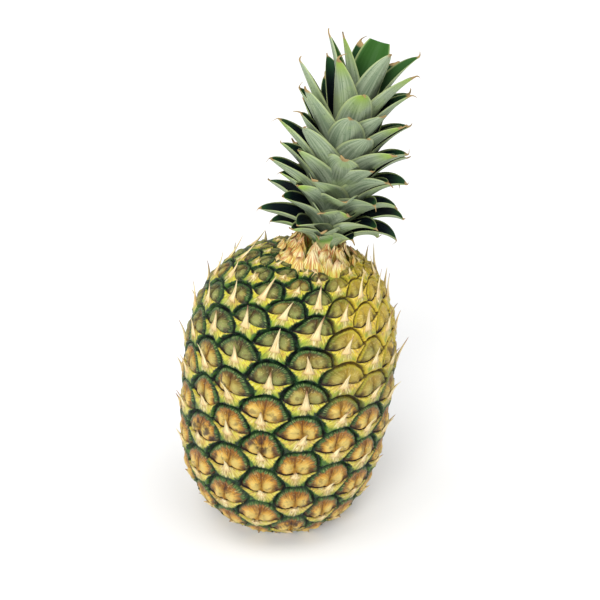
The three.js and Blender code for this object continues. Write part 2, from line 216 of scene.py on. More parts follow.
LEAF_COLOURS = {
    "grey green": (126, 146, 116),
    "pale streak": (180, 194, 162),
    "fresh cloud": (168, 192, 122),
    "speck": (70, 92, 66),
    # painted shade at the foot of each leaf's outer face, where the leaves hide each other
    "base": (70, 106, 56),
    "lowest leaves": (112, 160, 72),
    "lowest feet": (226, 226, 150),
    "fresh end": (150, 180, 76),
    # painted shade: the inner faces' own darker green taken nearly to black, as the shade between the leaves
    "inner face": (1, 5, 14),
    "inner streak": (8, 20, 26),
    "inner end": (40, 88, 40),
    "youngest inner face": (64, 112, 44),
    "margin": (190, 204, 140),
    "dry brown": (98, 66, 38),
    "dry tan": (214, 186, 130),
}
PAPER_COLOURS = {
    "cream": (250, 234, 180),
    "golden": (238, 212, 112),
    "green foot": (212, 204, 72),
    "red fibre": (194, 92, 42),
    "brown fibre": (112, 48, 26),
    "pale fibre": (252, 240, 190),
    "dry end": (168, 92, 48),
}

# Light: name, direction it shines in, softness in degrees, strength
SKY = 0.5
FLOOR_GLOW = 0.1
FLOOR_GREY = 0.8
FLOOR_SIZE = 12                 # in metres
LIGHTS = (
    ("left", (0.28, 0.2, -1.0), 30, 0.85),
    ("right", (-0.32, 0.2, -1.0), 30, 0.8),
    ("front", (0.3, 1.0, -0.65), 30, 1.9),
)

# Camera, with its place measured from the middle of the fruit
CAMERA_DISTANCE = 700.0
CAMERA_HEIGHT_ANGLE = 0.5422
CAMERA_PITCH = 0.47
CAMERA_SIDE = 7.82
CAMERA_LENS = 69.38


def mix(a, b, share):
    return a + (b - a) * share


def smooth(low, high, value):
    share = np.clip((value - low) / (high - low), 0, 1)
    return share * share * (3 - 2 * share)


def bump(value, middle, width):
    """1 at middle, falling to 0 about twice the width away."""
    return np.exp(-((value - middle) / width) ** 2)


def chance(a, b):
    value = np.sin(a * 12.9898 + b * 78.233) * 43758.5453
    return value - np.floor(value)


def body_curve():
    """Radius, height and row number along the body's curve from bottom to top."""
    angle = np.linspace(-math.pi / 2 + 1e-4, math.pi / 2 - 1e-4, CURVE_STEPS + 1)
    up = angle > 0
    power = 2 / np.where(up, TOP_FULLNESS, BOTTOM_FULLNESS)
    reach = np.where(up, TOP_HEIGHT, -BOTTOM_DEPTH)
    radius = FRUIT_RADIUS * np.cos(angle) ** power
    height = reach * np.abs(np.sin(angle)) ** power
    arcs = np.concatenate([[0], np.cumsum(np.hypot(np.diff(radius), np.diff(height)))])
    middle = np.interp(0, height, arcs)
    narrowing = (radius / FRUIT_RADIUS) ** ROW_SHRINK
    spacing = HALF_ROW * narrowing * np.exp(-ROW_TIGHTENING * (arcs - middle) / 100)
    rows = np.diff(arcs) / (0.5 * (spacing[1:] + spacing[:-1]))
    row = np.concatenate([[0], np.cumsum(rows)])
    row += ROW_AT_EQUATOR - np.interp(0, height, row)
    return radius, height, row


BODY_RADIUS, BODY_HEIGHT, BODY_ROW = body_curve()
NECK_LEVEL = TOP_HEIGHT * (1 - (NECK_RADIUS / FRUIT_RADIUS) ** TOP_FULLNESS) ** (1 / TOP_FULLNESS)


def leaning():
    """Matrix from the upright fruit, measured from its middle, to the part, in millimetres."""
    depth = BODY_HEIGHT * math.cos(FRUIT_LEAN) - BODY_RADIUS * math.sin(FRUIT_LEAN)
    foot = float(depth.min()) + FOOT_CUT
    turn = Matrix.Rotation(FRUIT_LEAN, 4, "Y")
    return Matrix.Translation((-foot * math.tan(FRUIT_LEAN), 0, -foot)) @ turn


FRUIT_PLACE = leaning()


def placed(points, matrix):
    turn = np.array(matrix)
    return points @ turn[:3, :3].T + turn[:3, 3]


def body_point(azimuth, radius, height):
    bow = TOP_BEND * np.maximum(0, height / TOP_HEIGHT) ** BEND_POWER
    return np.stack([radius * np.sin(azimuth) + bow, -radius * np.cos(azimuth), height + 0 * azimuth], -1)


def waves(table, turn, row):
    return sum(size * np.sin(count * turn + climb * row + start) for size, count, climb, start in table)


def skin_point(column, row):
    turn = column * 2 * math.pi / COLUMNS
    azimuth = FIRST_COLUMN + turn + waves(WAVER, turn, row)
    row_here = row + waves(SWELL, turn, row) * smooth(0, 3, row - LOWEST_ROW)
    radius = np.interp(row_here, BODY_ROW, BODY_RADIUS)
    height = np.interp(row_here, BODY_ROW, BODY_HEIGHT)
    return body_point(azimuth, radius, height)


def jiggle(column, row):
    """Small unevenness of the cells, the same for every eye that shares a border."""
    turn = column * 2 * math.pi / COLUMNS
    return column + waves(JIGGLE_ASIDE, turn, row), row + waves(JIGGLE_AHEAD, turn, row)


def unit(vectors):
    return vectors / np.linalg.norm(vectors, axis=-1, keepdims=True)


def skin_frame(column, row):
    """Place on the skin, with the directions across it, up it and out of it."""
    step = 0.05
    across = unit(skin_point(column + step, row) - skin_point(column - step, row))
    up = unit(skin_point(column, row + step) - skin_point(column, row - step))
    out = unit(np.cross(across, up))
    return skin_point(column, row), across, up, out


def eye_places():
    columns, levels, numbers = [], [], []
    for column in range(COLUMNS):
        slope = column * TURN_RISE / COLUMNS
        row = math.ceil((LOWEST_ROW - slope - column) / 2) * 2 + column
        while row + slope <= HIGHEST_ROW:
            columns.append(column)
            levels.append(row + slope)
            numbers.append(row)
            row += 2
    return np.array(columns, float), np.array(levels), np.array(numbers, float)


EYE_COLUMN, EYE_LEVEL, EYE_NUMBER = eye_places()
EYE_SIZE = np.minimum(1, np.sqrt(np.interp(EYE_LEVEL, BODY_ROW, BODY_RADIUS) / FRUIT_RADIUS))


def cell_border():
    """Border of an eye's cell from its left wing over the top, with its upper edges bowed outwards."""
    slope = TURN_RISE / COLUMNS
    neighbours = np.array([[-1, -1 - slope], [-1, 1 - slope], [0, 2],
                           [1, 1 + slope], [1, slope - 1], [0, -2]])
    corners = (neighbours + np.roll(neighbours, -1, 0)) / 3
    bows = np.array([[-0.05, 0.10], [0, 0.14], [0.05, 0.10]])
    from_wing = np.array(BORDER_STEPS)
    to_wing = np.concatenate([[0], 1 - from_wing[:0:-1]])
    even = np.arange(len(from_wing)) / len(from_wing)
    points = []
    for edge, shares in enumerate((from_wing, even, to_wing, to_wing, even, from_wing)):
        start, end = corners[edge], corners[(edge + 1) % 6]
        bow = bows[edge % 3]
        points += [mix(start, end, share) + 4 * share * (1 - share) * bow for share in shares]
    return np.array(points)


CELL_BORDER = cell_border()
CELL_ROOT = np.array([0, -0.24])


def new_piece(name, points, faces, material, corner=None, point=None):
    """A smooth-shaded piece from points in millimetres, with triples of values on face corners or points."""
    mesh = bpy.data.meshes.new(name)
    mesh.from_pydata((points * MM).tolist(), [], faces)
    for domain, tables in (("CORNER", corner), ("POINT", point)):
        for label, values in (tables or {}).items():
            data = mesh.attributes.new(label, "FLOAT_VECTOR", domain).data
            data.foreach_set("vector", values.ravel())
    mesh.materials.append(material)
    mesh.polygons.foreach_set("use_smooth", [True] * len(mesh.polygons))
    mesh.update()
    piece = bpy.data.objects.new(name, mesh)
    bpy.context.scene.collection.objects.link(piece)
    return piece


# Skin of the fruit

def reading(table, value):
    """The value read off a table of places and amounts, the same on both sides of 0."""
    places, amounts = zip(*table)
    return np.interp(np.abs(value), places, amounts)


def cell_grid():
    """Places in an eye's cell on rays from the spine's root to the border: side, along, share of the ray."""
    shares = np.array(EYE_RINGS + (1.0,))
    sectors = len(CELL_BORDER)
    aim = CELL_BORDER - CELL_ROOT
    level = np.abs(np.arctan2(aim[:, 1], np.abs(aim[:, 0]) * 1.8))
    sag = LIP_SAG * smooth(1.5, 0.1, level)
    places = CELL_ROOT + shares[:, None, None] * aim
    places[:, :, 1] -= sag * (4 * shares * (1 - shares))[:, None]
    offsets = np.concatenate([[CELL_ROOT], places.reshape(-1, 2)])
    rho = np.concatenate([[0], np.repeat(shares, sectors)])
    sector = np.arange(sectors)
    above = (sector > 0) & (sector < sectors // 2)
    above = np.concatenate([[False], np.tile(above, len(shares))])
    return offsets, rho, above


def eye_relief(side, along, rho, above, lot, ripe):
    """Height over the skin, in millimetres, at a place in an eye's cell."""
    over_lip = along - reading(BRACT_EDGE, side)
    over_foot = along - reading(BRACT_FOOT, side)
    angle = np.arctan2(side * EYE_ASPECT, along - EYE_MIDDLE)
    side = np.abs(side)
    dome = -GROOVE_DEPTH + (GROOVE_DEPTH + DOME_HEIGHT) * smooth(1.0, 0.82, rho)
    dome = dome - RIM_DIP * bump(rho, 0.68, 0.08)
    dome = dome + mix(*LOBE_HEIGHTS, lot) * bump(side, 0.21, 0.15) * bump(along, 0.14, 0.4)
    dome = dome - CRACK_DEPTH * bump(side, 0, 0.05) * smooth(-0.1, 0.15, along) * smooth(0.85, 0.6, rho)
    dome = dome - LIP_DEPTH * smooth(0.16, 0.0, over_lip) * smooth(0.04, 0.2, rho) * smooth(1, 0.85, rho)
    dome = dome + RIM_TOOTH * np.cos(RIM_TEETH * angle) * bump(rho, 0.84, 0.06)
    sheet = -GROOVE_DEPTH + (GROOVE_DEPTH + BRACT_HEIGHT) * smooth(1.0, 0.9, rho)
    sheet = sheet + BRACT_KEEL * bump(side, 0, 0.09) + BRACT_LIP * smooth(-0.2, 0, over_lip)
    sheet = sheet - BRACT_OVERHANG * ripe * smooth(-0.03, -0.12, over_foot)
    return np.where(above, dome, sheet)


def cell_corners():
    """Faces of one eye by its points' numbers: a fan round the spine's root, then rings out to the border."""
    sectors = len(CELL_BORDER)
    corners = []
    for sector in range(sectors):
        after = (sector + 1) % sectors
        corners.append((0, 1 + after, 1 + sector))
        for ring in range(len(EYE_RINGS)):
            inner, outer = 1 + ring * sectors, 1 + (ring + 1) * sectors
            corners.append((inner + sector, inner + after, outer + after, outer + sector))
    return corners


def shared_numbers(column, row, on_border):
    """Where each point is first used, and the points' numbers, the same for all eyes that meet at one."""
    count, width = column.shape
    turn = np.round(((column + COLUMNS) % COLUMNS) * COLUMN_KEY).astype(np.int64)
    turn = turn % round(COLUMNS * COLUMN_KEY)
    names = turn * TURN_KEY + np.round((row + 50) * ROW_KEY).astype(np.int64)
    names = np.where(on_border, names, -1 - np.arange(count * width).reshape(count, width))
    _, first, number = np.unique(names.ravel(), return_index=True, return_inverse=True)
    return first, number.reshape(count, width)


def end_fans(points, faces, bottom, top):
    """Triangles that close the skin's open ends to a point on the axis below and above."""
    open_edges = set()
    for face in faces:
        for index, start in enumerate(face):
            end = face[(index + 1) % len(face)]
            if (end, start) in open_edges:
                open_edges.remove((end, start))
            else:
                open_edges.add((start, end))
    return [(end, start, top if points[start][2] > 0 else bottom) for start, end in sorted(open_edges)]


def build_skin(material):
    offsets, rho, above = cell_grid()
    side, along, on_border = offsets[:, 0], offsets[:, 1], rho == 1.0
    lot = chance(EYE_COLUMN + 3, EYE_NUMBER)
    ripe = smooth(RIPE_ROWS[1], RIPE_ROWS[0], EYE_LEVEL)
    shift = EYE_SHIFT * (chance(EYE_COLUMN + 31, EYE_NUMBER) - 0.5) + BRACT_RISE * (1 - ripe)
    tilt = EYE_TILT * (chance(EYE_COLUMN + 29, EYE_NUMBER) - 0.5)
    column = EYE_COLUMN[:, None] + side
    row = EYE_LEVEL[:, None] + along + (shift[:, None] + tilt[:, None] * side) * (1 - rho)
    relief = eye_relief(side, along, rho, above, lot[:, None], ripe[:, None]) * EYE_SIZE[:, None]
    relief[:, on_border] = -GROOVE_DEPTH * 0.9
    centre, _, _, out = skin_frame(*jiggle(column, row))
    first, number = shared_numbers(column, row, on_border)
    points = (centre + out * relief[..., None]).reshape(-1, 3)[first]
    corners = cell_corners()
    faces = [tuple(eye[list(corner)]) for eye in number for corner in corners]

    # Values on the face corners
    count, order = len(number), np.concatenate([np.array(corner) for corner in corners])
    over_lip, over_foot = along - reading(BRACT_EDGE, side), along - reading(BRACT_FOOT, side)
    eye_values = np.tile(np.stack([side, along, rho], -1)[order], (count, 1))
    line_values = np.tile(np.stack([over_lip, over_foot, above.astype(float)], -1)[order], (count, 1))
    lots = np.repeat(np.stack([lot, ripe, EYE_NUMBER], -1), len(order), 0)

    # Open ends
    ends = np.array([body_point(0.0, 0.0, -BOTTOM_DEPTH), body_point(0.0, 0.0, TOP_HEIGHT)])
    fan = end_fans(points, faces, len(points), len(points) + 1)
    points = np.concatenate([points, ends])
    faces += fan
    eye_values = np.concatenate([eye_values, np.tile([0.3, -0.4, 0.5], (3 * len(fan), 1))])
    line_values = np.concatenate([line_values, np.tile([-0.5, 0.1, 0], (3 * len(fan), 1))])
    lots = np.concatenate([lots, np.tile([0.5, 0.5, 0], (3 * len(fan), 1))])

    points[:, 2] = np.minimum(points[:, 2], NECK_LEVEL)
    points = placed(points, FRUIT_PLACE)
    points[:, 2] = np.maximum(points[:, 2], 0)
    print("skin", len(points), "points", sum(len(face) - 2 for face in faces), "triangles")
    return new_piece("fruit_skin", points, faces, material,
                     corner={"eye": eye_values, "lines": line_values, "lots": lots})


# Spines of the eyes

def spine_lengths(centre_height):
    radius = np.interp(EYE_LEVEL, BODY_ROW, BODY_RADIUS)
    variety = 1 + SPINE_VARIETY * (chance(EYE_COLUMN, EYE_NUMBER) - 0.5)
    length = mix(SPINE_SHORT, SPINE_LONG, smooth(-72, 28, centre_height))
    near_neck = (centre_height > 0) & (radius < NECK_CLEAR_RADIUS)
    return np.where(near_neck, NECK_SPINE, length) * variety


def spine_points(root, across, up, out, length, size, sway, curl):
    """Rings of points along one spine, and its tip."""
    stations, profile = np.array(SPINE_STATIONS), np.array(SPINE_PROFILE)
    half = reading(SPINE_HALF_WIDTHS, stations) * size
    thick = reading(SPINE_THICKNESS, stations) * size
    lift = math.sin(SPINE_LIFT) * (0.5 * stations + 0.5 * stations ** 2)
    lift = lift + curl * stations ** 2 * (1 - stations)
    ahead = length * math.cos(SPINE_LIFT) * stations
    aside = sway * length * (0.25 * stations + 0.75 * stations ** 2)
    middle = (root + up * ahead[:, None] + out * (length * lift + SPINE_PROUD * size)[:, None]
              + across * aside[:, None])
    tip = (root + up * length * math.cos(SPINE_LIFT)
           + out * (length * math.sin(SPINE_LIFT) + SPINE_PROUD * size) + across * sway * length)
    section = (middle[:, None] + across * (profile[:, 0] * half[:, None])[..., None]
               + out * (profile[:, 1] * thick[:, None])[..., None])
    return np.concatenate([section.reshape(-1, 3), tip[None]])


def spine_faces(base, sides, rings):
    faces = []
    for j in range(rings - 1):
        for i in range(sides):
            k = (i + 1) % sides
            ring = base + j * sides
            faces.append((ring + k, ring + i, ring + sides + i, ring + sides + k))
    last = base + (rings - 1) * sides
    faces += [(last + (i + 1) % sides, last + i, last + sides) for i in range(sides)]
    faces.append(tuple(base + i for i in range(sides)))
    return faces


def build_spines(material):
    """The dry flat spine that rises from each eye's bract."""
    rings, sides = len(SPINE_STATIONS), len(SPINE_PROFILE)
    lot = chance(EYE_COLUMN + 11, EYE_NUMBER)
    sway = (chance(EYE_COLUMN + 40, EYE_NUMBER) - 0.5) * SPINE_SWAY
    curl = (chance(EYE_COLUMN + 41, EYE_NUMBER) - 0.5) * SPINE_CURL
    root, across, up, out = skin_frame(*jiggle(EYE_COLUMN, EYE_LEVEL - ROOT_SINK - 0.05))
    lengths = spine_lengths(root[:, 2])
    along = np.concatenate([np.repeat(SPINE_STATIONS, sides), [1.0]])
    cross = np.concatenate([np.tile(np.array(SPINE_PROFILE)[:, 0], rings), [0.0]])
    points, faces, values = [], [], []
    for eye in range(len(EYE_COLUMN)):
        points.append(spine_points(root[eye], across[eye], up[eye], out[eye],
                                   lengths[eye], EYE_SIZE[eye], sway[eye], curl[eye]))
        faces += spine_faces(eye * (sides * rings + 1), sides, rings)
        values.append(np.stack([cross, along, np.full_like(along, lot[eye])], -1))
    points = placed(np.concatenate(points), FRUIT_PLACE)
    points[:, 2] = np.maximum(points[:, 2], 0)
    print("spines", sum(len(face) - 2 for face in faces), "triangles")
    return new_piece("eye_spines", points, faces, material, point={"spine": np.concatenate(values)})


# Crown of leaves

def leaf_shape(index):
    """Where a leaf stands and how it is shaped, from its place in the spiral."""
    age = index / (LEAVES - 1)

    def wild(channel):
        return float(chance(index, channel + LEAF_SEED)) - 0.5

    azimuth = math.radians(FIRST_LEAF + index * GOLDEN_ANGLE + 16 * wild(2))
    tip_height = mix(*TIP_HEIGHTS, age ** 1.14) + TOP_RISE * float(smooth(0.85, 1, age))
    tip_height += 8 * wild(1) * float(smooth(0, 0.2, age))
    spread = mix(*LEAF_SPREADS, float(smooth(0, 0.12, age)))
    spread -= 5.8 * float(smooth(0.5, 0.85, age)) + 15.4 * float(smooth(0.93, 1, age))
    front = max(0.0, math.cos(azimuth))
    droop = mix(22, 8, age) * math.sin(azimuth) - 26 * (1 - age) * front
    shortened = 1 - 0.4 * (1 - age) ** 3 * front
    raised = 9 * (1 - age) ** 4 * front
    turn = mix(*END_TURNS, float(smooth(0.05, 0.95, age))) + droop + 14 * wild(4)
    return {
        "age": age,
        "azimuth": azimuth,
        "root": Vector((mix(STEM_RADIUS, STEM_TOP_RADIUS, age) - LEAF_SINK,
                        mix(1.5, STEM_HEIGHT - 3, age ** 1.15))),
        "tip": Vector((shortened * (spread + 9 * wild(3)), tip_height + raised)),
        "start_turn": math.radians(mix(*START_TURNS, age)),
        "end_turn": math.radians(turn),
        "width": mix(*LEAF_WIDTHS, float(smooth(0.05, 0.5, age))) - 4.5 * float(smooth(0.75, 1, age)),
        "hollow": mix(*LEAF_HOLLOWS, age),
        "fullness": CUT_FULLNESS if index == CUT_LEAF else LEAF_FULLNESS,
        "reach": CUT_SHARE if index == CUT_LEAF else 1.0,
        "thickness": LEAF_THICKNESS,
        "sway": 6 * wild(5),
        "twist": math.radians(24 * wild(6)),
        "hook": (7 * wild(8), 7 * wild(9)),
        "crumple": 0.35,
        "lot": wild(7) + 0.5,
    }


def leaf_line(shape, shares):
    """Radius and height along a leaf's middle, with its direction."""
    chord = shape["tip"] - shape["root"]
    lie = math.atan2(chord.x, chord.y)
    start, end = lie - shape["start_turn"], lie + shape["end_turn"]
    first = shape["root"] + Vector((math.sin(start), math.cos(start))) * 0.42 * chord.length
    last = shape["tip"] - Vector((math.sin(end), math.cos(end))) * 0.3 * chord.length
    root, first, last, tip = np.array([shape["root"], first, last, shape["tip"]])
    t = shares[:, None]
    place = (1 - t) ** 3 * root + 3 * (1 - t) ** 2 * t * first + 3 * (1 - t) * t ** 2 * last + t ** 3 * tip
    slope = (1 - t) ** 2 * (first - root) + 2 * (1 - t) * t * (last - first) + t ** 2 * (tip - last)
    return place, unit(slope)


def leaf_grid(shape):
    """Points of a leaf's outer and inner faces, the dried tip drawn out to a bent thread."""
    shares = np.array(LEAF_SHARES) * shape["reach"]
    across_shares = np.linspace(-1, 1, LEAF_ACROSS + 1)
    place, slope = leaf_line(shape, shares)
    radial = np.array([math.sin(shape["azimuth"]), -math.cos(shape["azimuth"]), 0])
    sideways = np.array([math.cos(shape["azimuth"]), math.sin(shape["azimuth"]), 0])
    upwards = np.array([0, 0, 1])
    centre = place[:, :1] * radial + place[:, 1:] * upwards
    centre = centre + (shape["sway"] * shares ** 2)[:, None] * sideways
    along = slope[:, :1] * radial + slope[:, 1:] * upwards
    flat_out = np.cross(sideways[None], along)
    turn = (shape["twist"] * shares)[:, None]
    across = sideways * np.cos(turn) - flat_out * np.sin(turn)
    out = unit(np.cross(across, along))
    thread = np.maximum(0, (shares - THREAD_SHARE) / (1 - THREAD_SHARE))[:, None] ** 2
    centre = centre + thread * (shape["hook"][0] * across + shape["hook"][1] * out - 0.6 * along)
    taper = (1 - np.minimum(1, shares / (THREAD_SHARE + 0.01)) ** shape["fullness"]) ** 0.78
    half = 0.5 * shape["width"] * mix(0.86, 1, smooth(0, 0.3, shares)) * taper
    half = np.maximum(half, mix(0.6, 0.2, thread[:, 0]))
    deep = 2 * half * shape["hollow"]
    bend = np.abs(across_shares) ** 1.7
    ripple = shape["crumple"] * np.sin(5 * across_shares + 9 * shares[:, None] + 20 * shape["lot"])
    ripple = ripple * np.abs(across_shares) * smooth(0.05, 0.5, shares)[:, None]
    drop = (deep[:, None] * bend + ripple)[..., None]
    aside = (half[:, None] * across_shares)[..., None]
    outer = centre[:, None] + across[:, None] * aside - out[:, None] * drop
    thick = np.maximum(0.25, shape["thickness"] * mix(1, 0.3, shares))
    thick = thick[:, None] * (1 - 0.8 * across_shares ** 2)
    inner = outer - out[:, None] * thick[..., None]
    return shares, across_shares, outer, inner


def build_blades(name, shapes, place, material):
    """Many leaves in one piece, each a closed shell with an outer and an inner face."""
    points, faces, values, base = [], [], [], 0
    for shape in shapes:
        shares, across_shares, outer, inner = leaf_grid(shape)
        rows, width = len(shares), len(across_shares)
        shift = rows * width
        points += [outer.reshape(-1, 3), inner.reshape(-1, 3)]
        for j in range(rows - 1):
            for i in range(width - 1):
                a, b = base + j * width + i, base + j * width + i + 1
                faces.append((a, b, b + width, a + width))
                faces.append((a + shift + width, b + shift + width, b + shift, a + shift))
        ring = list(range(width)) + [j * width + width - 1 for j in range(1, rows)]
        ring += [(rows - 1) * width + i for i in range(width - 2, -1, -1)]
        ring += [j * width for j in range(rows - 2, 0, -1)]
        for k, a in enumerate(ring):
            b = ring[(k + 1) % len(ring)]
            faces.append((base + b, base + a, base + shift + a, base + shift + b))
        grid_across = np.repeat(across_shares[None], rows, 0).ravel()
        grid_share = np.repeat(shares[:, None], width, 1).ravel()
        for inside in (0, 1):
            values.append(np.stack([grid_across, grid_share, np.full_like(grid_across, inside)], -1))
        base += 2 * shift
    kinds = [(shape["lot"], shape["age"], 0.0) for shape in shapes]
    lots = np.repeat(kinds, base // len(shapes), 0)
    print(name, sum(len(face) - 2 for face in faces), "triangles")
    return new_piece(name, placed(np.concatenate(points), place), faces, material,
                     point={"leaf": np.concatenate(values), "leaf_lots": lots})


def neck_bract_shapes():
    """Rings of short dry bracts that lean in against the foot of the crown, their tips curled."""
    shapes = []
    for tier, ring in enumerate(NECK_RINGS):
        for index in range(ring["count"]):
            wild = [float(chance(index + 40 * tier, channel)) - 0.5 for channel in range(8)]
            azimuth = (index + 0.5 * wild[0]) * 2 * math.pi / ring["count"] + tier
            reach = 1 + 0.6 * wild[1]
            root, tip = Vector(ring["root"]), Vector(ring["tip"])
            shapes.append({
                "age": tier / (len(NECK_RINGS) - 1),
                "azimuth": azimuth,
                "root": root,
                "tip": root + (tip - root) * reach + Vector((0, 2 * wild[2])),
                "start_turn": math.radians(-18 + 30 * wild[3]),
                "end_turn": math.radians(25 + 80 * wild[4]),
                "width": ring["width"] * (1 + 0.4 * wild[5]),
                "hollow": 0.1,
                "fullness": 1.35,
                "reach": 1.0,
                "thickness": 0.8,
                "sway": 4 * wild[6],
                "twist": math.radians(60 * wild[7]),
                "hook": (2 * wild[3], 2 * wild[5]),
                "crumple": 0.9,
                "lot": wild[6] + 0.5,
            })
    return shapes


def neck_place():
    foot = body_point(np.array(0.0), 0.0, NECK_LEVEL)
    return Matrix.Translation(placed(foot, FRUIT_PLACE)) @ Matrix.Rotation(FRUIT_LEAN, 4, "Y")


def crown_place():
    foot = body_point(np.array(0.0), 0.0, NECK_LEVEL + NECK_CORE_HEIGHT + CROWN_RAISE)
    return Matrix.Translation(placed(foot, FRUIT_PLACE)) @ Matrix.Rotation(CROWN_LEAN, 4, "Y")


# Materials

def colour(red, green, blue):
    """Light values of a colour given as 0 to 255."""
    light = []
    for share in (red / 255, green / 255, blue / 255):
        light.append(((share + 0.055) / 1.055) ** 2.4 if share > 0.04 else share / 12.92)
    return (*light, 1.0)


def palette(colours):
    return {name: colour(*levels) for name, levels in colours.items()}


def new_material(name, roughness):
    material = bpy.data.materials.new(name)
    material.use_nodes = True
    shader = material.node_tree.nodes["Principled BSDF"]
    shader.inputs["Roughness"].default_value = roughness
    return material, material.node_tree, shader


def add_node(tree, kind, inputs=None, **settings):
    """A shader node; each input is a plain value or another node's output."""
    node = tree.nodes.new("ShaderNode" + kind)
    for name, value in settings.items():
        setattr(node, name, value)
    for socket, value in (inputs or {}).items():
        if isinstance(value, bpy.types.NodeSocket):
            tree.links.new(value, node.inputs[socket])
        else:
            node.inputs[socket].default_value = value
    return node


def maths(tree, operation, *values):
    return add_node(tree, "Math", dict(enumerate(values)), operation=operation).outputs[0]


def blend(tree, share, first, second):
    return add_node(tree, "Mix", {0: share, 6: first, 7: second}, data_type="RGBA").outputs[2]


def rising(tree, value, low, high):
    """0 below low and 1 above high, or the other way round where low is the larger."""
    return add_node(tree, "MapRange", {0: value, 1: low, 2: high}, interpolation_type="SMOOTHSTEP").outputs[0]


def stain(tree, tint, over, strength, where, low, high):
    """The tint with another colour laid over it where a value passes from low to high."""
    return blend(tree, both(tree, rising(tree, where, low, high), strength), tint, over)


def both(tree, first, second):
    return maths(tree, "MULTIPLY", first, second)


def parts_of(tree, vector):
    return add_node(tree, "SeparateXYZ", {0: vector}).outputs


def vector_of(tree, x, y, z):
    return add_node(tree, "CombineXYZ", {0: x, 1: y, 2: z}).outputs[0]


def attribute(tree, name):
    return add_node(tree, "Attribute", attribute_name=name).outputs["Vector"]


def grain(tree, vector, scale, detail=3.0):
    return add_node(tree, "TexNoise", {"Vector": vector, "Scale": scale, "Detail": detail}).outputs[0]


def surface(tree, shader, tint, relief, strength, depth):
    tree.links.new(tint, shader.inputs["Base Color"])
    bumped = add_node(tree, "Bump", {"Height": relief, "Strength": strength, "Distance": depth})
    tree.links.new(bumped.outputs[0], shader.inputs["Normal"])


def fan_streaks(tree, turn, count, rho, length, seed, detail):
    """Chance streaks that fan out in an eye, about so many to the turn."""
    return grain(tree, vector_of(tree, both(tree, turn, count), both(tree, rho, length), seed), 1.0, detail)


def skin_values(tree):
    """What the skin's colours are worked out from: the place in the eye, its ripeness and chance patterns."""
    see = SimpleNamespace()
    see.side, see.along, see.rho = parts_of(tree, attribute(tree, "eye"))
    see.over_lip, see.over_foot, see.above = parts_of(tree, attribute(tree, "lines"))
    see.lot, see.ripe, number = parts_of(tree, attribute(tree, "lots"))
    see.aside = maths(tree, "ABSOLUTE", see.side)
    place = add_node(tree, "TexCoord").outputs["Object"]
    see.x, see.y, see.z = parts_of(tree, place)

    # Streaks that fan out from an eye's middle and from its spine's root
    seed = both(tree, maths(tree, "ADD", see.lot, both(tree, number, 0.13)), 37.0)
    wide = both(tree, see.side, EYE_ASPECT)
    see.turn = maths(tree, "ARCTAN2", wide, maths(tree, "SUBTRACT", see.along, EYE_MIDDLE))
    fan_turn = maths(tree, "ARCTAN2", wide, maths(tree, "SUBTRACT", 0.05, see.along))
    see.rays = fan_streaks(tree, see.turn, 8.0, see.rho, 3.0, seed, 4.0)
    see.fibres = fan_streaks(tree, fan_turn, 8.0, see.rho, 2.4, seed, 4.0)
    see.hairs = fan_streaks(tree, see.turn, 24.0, see.rho, 4.0, seed, 3.0)
    see.threads = fan_streaks(tree, fan_turn, 24.0, see.rho, 2.6, seed, 3.0)
    see.mottle = grain(tree, place, 260.0, 4.0)
    see.fleck = grain(tree, place, 850.0, 2.0)
    see.patches = grain(tree, place, 45.0, 2.0)

    # Yellow side of the fruit, up and to the right
    see.yellow = both(tree, rising(tree, see.x, 0.026, 0.05), rising(tree, see.z, 0.09, 0.13))
    see.yellow = both(tree, see.yellow, rising(tree, see.patches, 0.2, 0.45))
    return see


